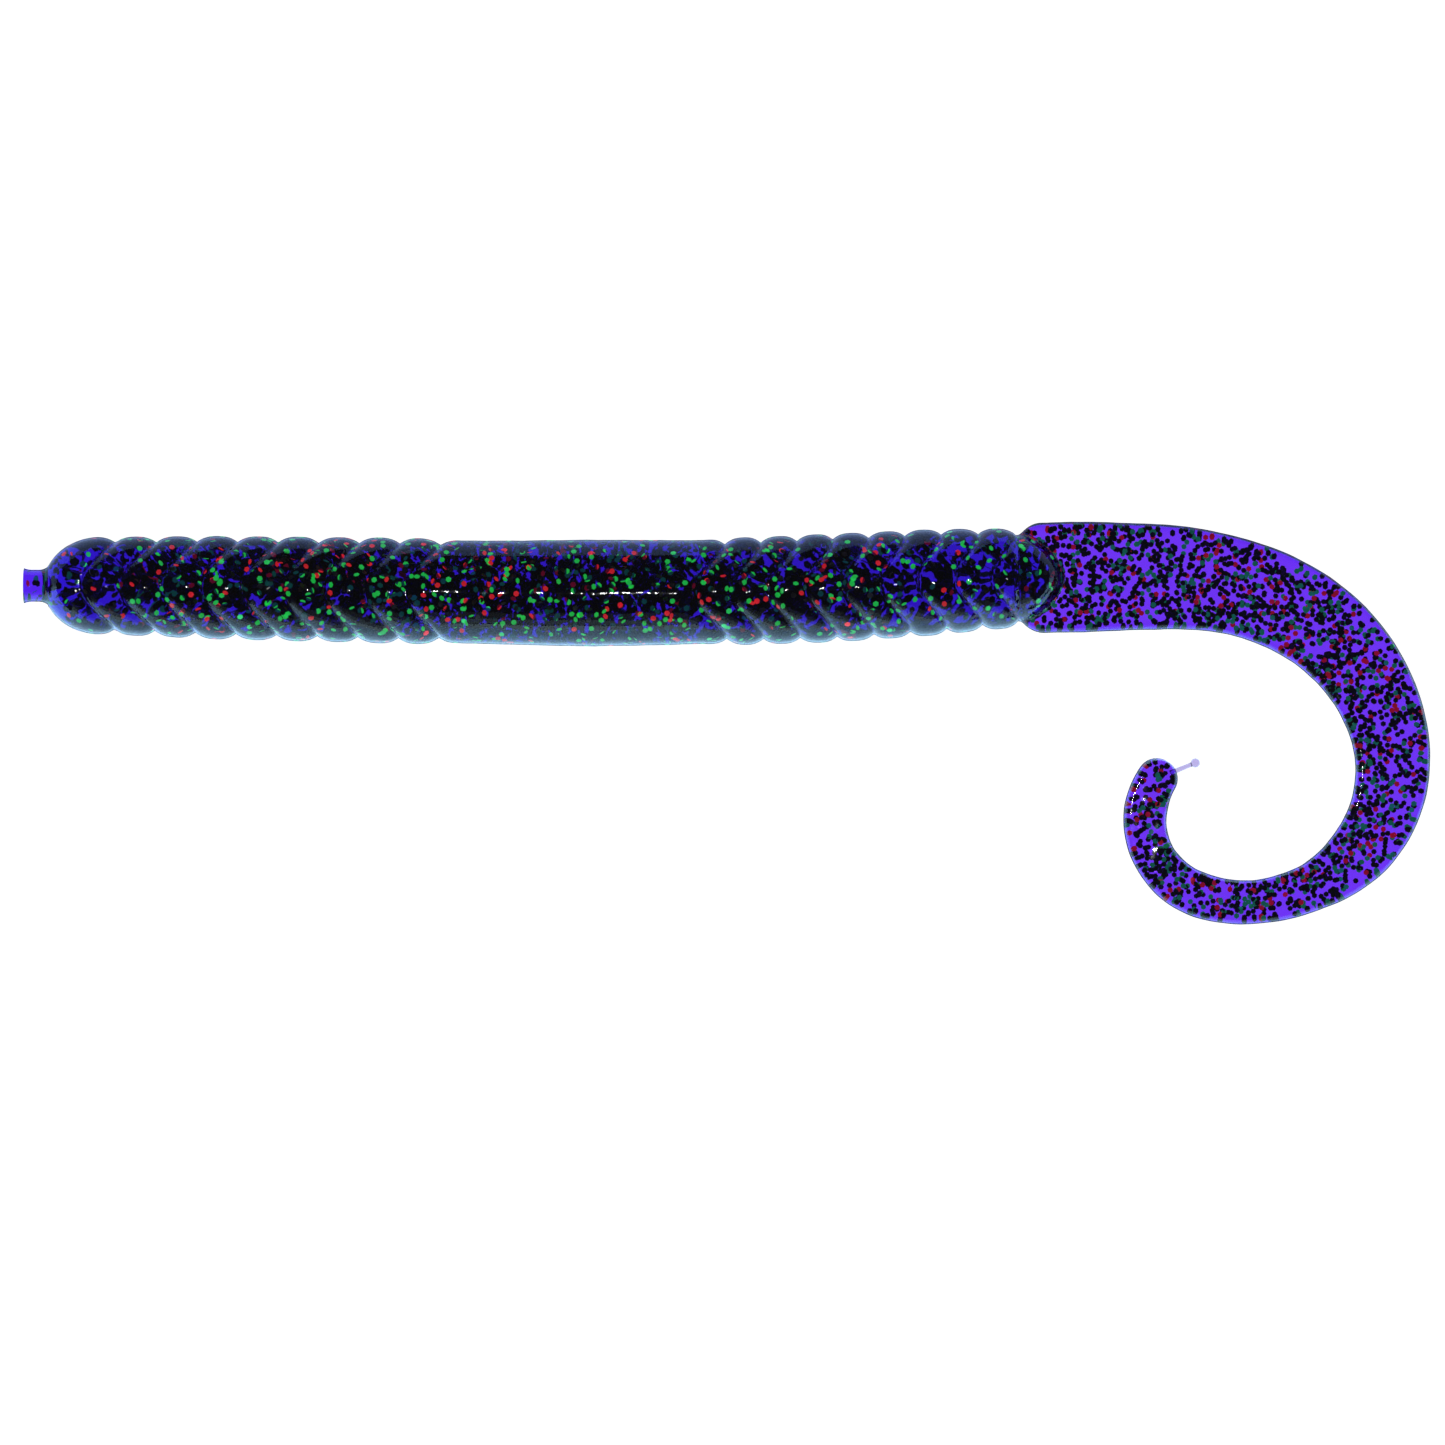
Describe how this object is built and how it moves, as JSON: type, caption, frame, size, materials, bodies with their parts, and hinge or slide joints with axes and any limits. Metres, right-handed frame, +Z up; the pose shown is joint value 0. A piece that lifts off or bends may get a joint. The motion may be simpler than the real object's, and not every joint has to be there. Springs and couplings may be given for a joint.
{
  "type": "ribbon tail worm",
  "caption": "Soft plastic fishing worm with chevron ribs, a smooth saddle and a flat ribbon tail curled to one side.",
  "frame": {"origin": "on the support plane, under the middle of the box around the lying part", "axes": "+X from the nose to the tail, +Z up out of the support plane, +Y away from the side the tail curls to"},
  "size_m": [0.1909, 0.0546, 0.0146],
  "materials": {
    "plastisol": "glossy, translucent violet with glitter",
    "clear_plastisol": "glossy, nearly clear"
  },
  "bodies": {
    "head": {"sprue_nub": "plastisol", "head": "plastisol"},
    "front_ring_1": {"front_ring_1": "plastisol"},
    "front_ring_2": {"front_ring_2": "plastisol"},
    "front_ring_3": {"front_ring_3": "plastisol"},
    "front_ring_4": {"front_ring_4": "plastisol"},
    "front_ring_5": {"front_ring_5": "plastisol"},
    "front_ring_6": {"front_ring_6": "plastisol"},
    "front_ring_7": {"front_ring_7": "plastisol"},
    "front_ring_8": {"front_ring_8": "plastisol"},
    "saddle_1": {"saddle_1": "plastisol"},
    "saddle_2": {"saddle_2": "plastisol"},
    "saddle_3": {"saddle_3": "plastisol"},
    "saddle_4": {"saddle_4": "plastisol"},
    "saddle_5": {"saddle_5": "plastisol"},
    "rear_ring_1": {"rear_ring_1": "plastisol"},
    "rear_ring_2": {"rear_ring_2": "plastisol"},
    "rear_ring_3": {"rear_ring_3": "plastisol"},
    "rear_ring_4": {"rear_ring_4": "plastisol"},
    "rear_ring_5": {"rear_ring_5": "plastisol"},
    "rear_ring_6": {"rear_ring_6": "plastisol"},
    "rear_ring_7": {"rear_ring_7": "plastisol"},
    "rear_ring_8": {"rear_ring_8": "plastisol"},
    "tail_root": {"tail_root": "plastisol"},
    "tail_ribbon_1": {"tail_ribbon_1": "plastisol"},
    "tail_ribbon_2": {"tail_ribbon_2": "plastisol"},
    "tail_ribbon_3": {"tail_ribbon_3": "plastisol"},
    "tail_ribbon_4": {"tail_ribbon_4": "plastisol"},
    "tail_ribbon_5": {"tail_ribbon_5": "plastisol"},
    "tail_ribbon_6": {"tail_ribbon_6": "plastisol"},
    "tail_ribbon_7": {"tail_ribbon_7": "plastisol"},
    "tail_ribbon_8": {"tail_ribbon_8": "plastisol"},
    "tail_ribbon_9": {"tail_ribbon_9": "plastisol"},
    "tail_ribbon_10": {"tail_ribbon_10": "plastisol"},
    "tail_ribbon_11": {"tail_ribbon_11": "plastisol"},
    "tail_ribbon_12": {"tail_ribbon_12": "plastisol"},
    "tail_tip": {"tail_tip": "plastisol", "vent_pin": "clear_plastisol"}
  },
  "joints": [
    {"name": "front_lift", "type": "hinge", "parent": "saddle_3", "child": "saddle_2", "pos_m": [-0.02414, 0.01792, 0.0073], "axis": [0.0004, 1, 0], "range_deg": [0, 3.4], "stiffness_Nm_per_rad": 0.03},
    {"name": "front_sway", "type": "hinge", "parent": "saddle_2", "child": "saddle_1", "pos_m": [-0.01535, 0.01785, 0.0073], "axis": [0, 0, 1], "range_deg": [-4, 4], "stiffness_Nm_per_rad": 0.03},
    {"name": "front_lift_2", "type": "hinge", "parent": "saddle_1", "child": "front_ring_8", "pos_m": [-0.04115, 0.01817, 0.0073], "axis": [0.0175, 0.9998, 0], "range_deg": [0, 3.41], "stiffness_Nm_per_rad": 0.03},
    {"name": "front_sway_2", "type": "hinge", "parent": "front_ring_8", "child": "front_ring_7", "pos_m": [-0.04102, 0.01817, 0.0073], "axis": [0, 0, 1], "range_deg": [-4.01, 4.01], "stiffness_Nm_per_rad": 0.03},
    {"name": "front_lift_3", "type": "hinge", "parent": "front_ring_7", "child": "front_ring_6", "pos_m": [-0.05218, 0.01836, 0.0073], "axis": [0.0175, 0.9998, 0], "range_deg": [0, 3.41], "stiffness_Nm_per_rad": 0.03},
    {"name": "front_sway_3", "type": "hinge", "parent": "front_ring_6", "child": "front_ring_5", "pos_m": [-0.05231, 0.01836, 0.0073], "axis": [0, 0, 1], "range_deg": [-4.01, 4.01], "stiffness_Nm_per_rad": 0.03},
    {"name": "front_lift_4", "type": "hinge", "parent": "front_ring_5", "child": "front_ring_4", "pos_m": [-0.06322, 0.01855, 0.0073], "axis": [0.0175, 0.9998, 0], "range_deg": [0, 3.41], "stiffness_Nm_per_rad": 0.03},
    {"name": "front_sway_4", "type": "hinge", "parent": "front_ring_4", "child": "front_ring_3", "pos_m": [-0.06359, 0.01856, 0.0073], "axis": [0, 0, 1], "range_deg": [-4.01, 4.01], "stiffness_Nm_per_rad": 0.03},
    {"name": "front_lift_5", "type": "hinge", "parent": "front_ring_3", "child": "front_ring_2", "pos_m": [-0.07426, 0.01875, 0.0073], "axis": [0.0175, 0.9998, 0], "range_deg": [0, 3.41], "stiffness_Nm_per_rad": 0.03},
    {"name": "front_sway_5", "type": "hinge", "parent": "front_ring_2", "child": "front_ring_1", "pos_m": [-0.07486, 0.01876, 0.0073], "axis": [0, 0, 1], "range_deg": [-4.01, 4.01], "stiffness_Nm_per_rad": 0.03},
    {"name": "front_lift_6", "type": "hinge", "parent": "front_ring_1", "child": "head", "pos_m": [-0.0853, 0.01894, 0.0073], "axis": [0.0175, 0.9998, 0], "range_deg": [0, 3.41], "stiffness_Nm_per_rad": 0.03},
    {"name": "rear_sway", "type": "hinge", "parent": "saddle_3", "child": "saddle_4", "pos_m": [0.00021, 0.01805, 0.0073], "axis": [0, 0, 1], "range_deg": [-4, 4], "stiffness_Nm_per_rad": 0.03},
    {"name": "rear_lift", "type": "hinge", "parent": "saddle_4", "child": "saddle_5", "pos_m": [-0.00858, 0.01797, 0.0073], "axis": [0.0167, -0.9999, 0], "range_deg": [0, 3.4], "stiffness_Nm_per_rad": 0.03},
    {"name": "rear_sway_2", "type": "hinge", "parent": "saddle_5", "child": "rear_ring_1", "pos_m": [0.00555, 0.01826, 0.0073], "axis": [0, 0, 1], "range_deg": [-4.01, 4.01], "stiffness_Nm_per_rad": 0.03},
    {"name": "rear_lift_2", "type": "hinge", "parent": "rear_ring_1", "child": "rear_ring_2", "pos_m": [0.0031, 0.01818, 0.0073], "axis": [0.0337, -0.9994, 0], "range_deg": [0, 3.41], "stiffness_Nm_per_rad": 0.03},
    {"name": "rear_sway_3", "type": "hinge", "parent": "rear_ring_2", "child": "rear_ring_3", "pos_m": [0.0151, 0.01863, 0.0073], "axis": [0, 0, 1], "range_deg": [-4.01, 4.01], "stiffness_Nm_per_rad": 0.03},
    {"name": "rear_lift_3", "type": "hinge", "parent": "rear_ring_3", "child": "rear_ring_4", "pos_m": [0.01299, 0.01852, 0.0073], "axis": [0.0508, -0.9987, 0], "range_deg": [0, 3.41], "stiffness_Nm_per_rad": 0.03},
    {"name": "rear_sway_4", "type": "hinge", "parent": "rear_ring_4", "child": "rear_ring_5", "pos_m": [0.02465, 0.01916, 0.0073], "axis": [0, 0, 1], "range_deg": [-4.01, 4.01], "stiffness_Nm_per_rad": 0.03},
    {"name": "rear_lift_4", "type": "hinge", "parent": "rear_ring_5", "child": "rear_ring_6", "pos_m": [0.02288, 0.01905, 0.0073], "axis": [0.0593, -0.9982, 0], "range_deg": [0, 3.41], "stiffness_Nm_per_rad": 0.03},
    {"name": "rear_sway_5", "type": "hinge", "parent": "rear_ring_6", "child": "rear_ring_7", "pos_m": [0.0342, 0.01973, 0.0073], "axis": [0, 0, 1], "range_deg": [-4.01, 4.01], "stiffness_Nm_per_rad": 0.03},
    {"name": "rear_lift_5", "type": "hinge", "parent": "rear_ring_7", "child": "rear_ring_8", "pos_m": [0.03276, 0.01968, 0.0073], "axis": [0.0396, -0.9992, 0], "range_deg": [0, 3.41], "stiffness_Nm_per_rad": 0.03},
    {"name": "rear_sway_6", "type": "hinge", "parent": "rear_ring_8", "child": "tail_root", "pos_m": [0.04394, 0.02003, 0.0073], "axis": [0, 0, 1], "range_deg": [-4.01, 4.01], "stiffness_Nm_per_rad": 0.03},
    {"name": "tail_lift", "type": "hinge", "parent": "tail_root", "child": "tail_ribbon_1", "pos_m": [0.04872, 0.02013, 0.00553], "axis": [0.0198, -0.9998, 0], "range_deg": [0, 10], "stiffness_Nm_per_rad": 0.0002},
    {"name": "tail_curl", "type": "hinge", "parent": "tail_ribbon_1", "child": "tail_ribbon_2", "pos_m": [0.06544, 0.02005, 0.00213], "axis": [-0.1993, -0.0039, -0.9799], "range_deg": [-9, 0.9], "stiffness_Nm_per_rad": 0.003},
    {"name": "tail_lift_2", "type": "hinge", "parent": "tail_ribbon_2", "child": "tail_ribbon_3", "pos_m": [0.06911, 0.01882, 0.00139], "axis": [-0.2397, -0.9709, 0], "range_deg": [0, 10.01], "stiffness_Nm_per_rad": 0.0002},
    {"name": "tail_curl_2", "type": "hinge", "parent": "tail_ribbon_3", "child": "tail_ribbon_4", "pos_m": [0.08312, 0.01195, 0.00139], "axis": [0, 0, -1], "range_deg": [-23.41, 2.35], "stiffness_Nm_per_rad": 0.003},
    {"name": "tail_lift_3", "type": "hinge", "parent": "tail_ribbon_4", "child": "tail_ribbon_5", "pos_m": [0.08543, 0.00844, 0.00139], "axis": [-0.7972, -0.6037, 0], "range_deg": [0, 10.01], "stiffness_Nm_per_rad": 0.0002},
    {"name": "tail_curl_3", "type": "hinge", "parent": "tail_ribbon_5", "child": "tail_ribbon_6", "pos_m": [0.09096, -0.00456, 0.00139], "axis": [0, 0, -1], "range_deg": [-28.81, 2.89], "stiffness_Nm_per_rad": 0.003},
    {"name": "tip_lift", "type": "hinge", "parent": "tail_ribbon_6", "child": "tail_ribbon_7", "pos_m": [0.09004, -0.00897, 0.00139], "axis": [-0.9821, 0.1885, 0], "range_deg": [0, 10], "stiffness_Nm_per_rad": 0.0002},
    {"name": "tip_curl", "type": "hinge", "parent": "tail_ribbon_7", "child": "tail_ribbon_8", "pos_m": [0.08377, -0.01988, 0.00139], "axis": [0, 0, -1], "range_deg": [-32.4, 3.24], "stiffness_Nm_per_rad": 0.003},
    {"name": "tip_lift_2", "type": "hinge", "parent": "tail_ribbon_8", "child": "tail_ribbon_9", "pos_m": [0.07959, -0.02203, 0.00139], "axis": [-0.4247, 0.9053, 0], "range_deg": [0, 10.01], "stiffness_Nm_per_rad": 0.0002},
    {"name": "tip_curl_2", "type": "hinge", "parent": "tail_ribbon_9", "child": "tail_ribbon_10", "pos_m": [0.06908, -0.0244, 0.00139], "axis": [0, 0, -1], "range_deg": [-27.01, 2.71], "stiffness_Nm_per_rad": 0.003},
    {"name": "tip_lift_3", "type": "hinge", "parent": "tail_ribbon_10", "child": "tail_ribbon_11", "pos_m": [0.06386, -0.02316, 0.00139], "axis": [0.3398, 0.9405, 0], "range_deg": [0, 10.01], "stiffness_Nm_per_rad": 0.0002},
    {"name": "tip_curl_3", "type": "hinge", "parent": "tail_ribbon_11", "child": "tail_ribbon_12", "pos_m": [0.05674, -0.0162, 0.00139], "axis": [0, 0, -1], "range_deg": [-39.61, 3.97], "stiffness_Nm_per_rad": 0.003},
    {"name": "tip_lift_4", "type": "hinge", "parent": "tail_ribbon_12", "child": "tail_tip", "pos_m": [0.05673, -0.01132, 0.00139], "axis": [0.9852, -0.1714, 0], "range_deg": [0, 10.01], "stiffness_Nm_per_rad": 0.0002}
  ],
  "couplings": [
    {"joint": "front_lift_2", "follows": "front_lift", "ratio": 1},
    {"joint": "front_sway_2", "follows": "front_sway", "ratio": 1},
    {"joint": "front_lift_3", "follows": "front_lift", "ratio": 1},
    {"joint": "front_sway_3", "follows": "front_sway", "ratio": 1},
    {"joint": "front_lift_4", "follows": "front_lift", "ratio": 1},
    {"joint": "front_sway_4", "follows": "front_sway", "ratio": 1},
    {"joint": "front_lift_5", "follows": "front_lift", "ratio": 1},
    {"joint": "front_sway_5", "follows": "front_sway", "ratio": 1},
    {"joint": "front_lift_6", "follows": "front_lift", "ratio": 1},
    {"joint": "rear_sway_2", "follows": "rear_sway", "ratio": 1},
    {"joint": "rear_lift_2", "follows": "rear_lift", "ratio": 1},
    {"joint": "rear_sway_3", "follows": "rear_sway", "ratio": 1},
    {"joint": "rear_lift_3", "follows": "rear_lift", "ratio": 1},
    {"joint": "rear_sway_4", "follows": "rear_sway", "ratio": 1},
    {"joint": "rear_lift_4", "follows": "rear_lift", "ratio": 1},
    {"joint": "rear_sway_5", "follows": "rear_sway", "ratio": 1},
    {"joint": "rear_lift_5", "follows": "rear_lift", "ratio": 1},
    {"joint": "rear_sway_6", "follows": "rear_sway", "ratio": 1},
    {"joint": "tail_lift_2", "follows": "tail_lift", "ratio": 1},
    {"joint": "tail_curl_2", "follows": "tail_curl", "ratio": 2.6},
    {"joint": "tail_lift_3", "follows": "tail_lift", "ratio": 1},
    {"joint": "tail_curl_3", "follows": "tail_curl", "ratio": 3.2},
    {"joint": "tip_lift_2", "follows": "tip_lift", "ratio": 1},
    {"joint": "tip_curl_2", "follows": "tip_curl", "ratio": 0.8333},
    {"joint": "tip_lift_3", "follows": "tip_lift", "ratio": 1},
    {"joint": "tip_curl_3", "follows": "tip_curl", "ratio": 1.2222},
    {"joint": "tip_lift_4", "follows": "tip_lift", "ratio": 1}
  ]
}
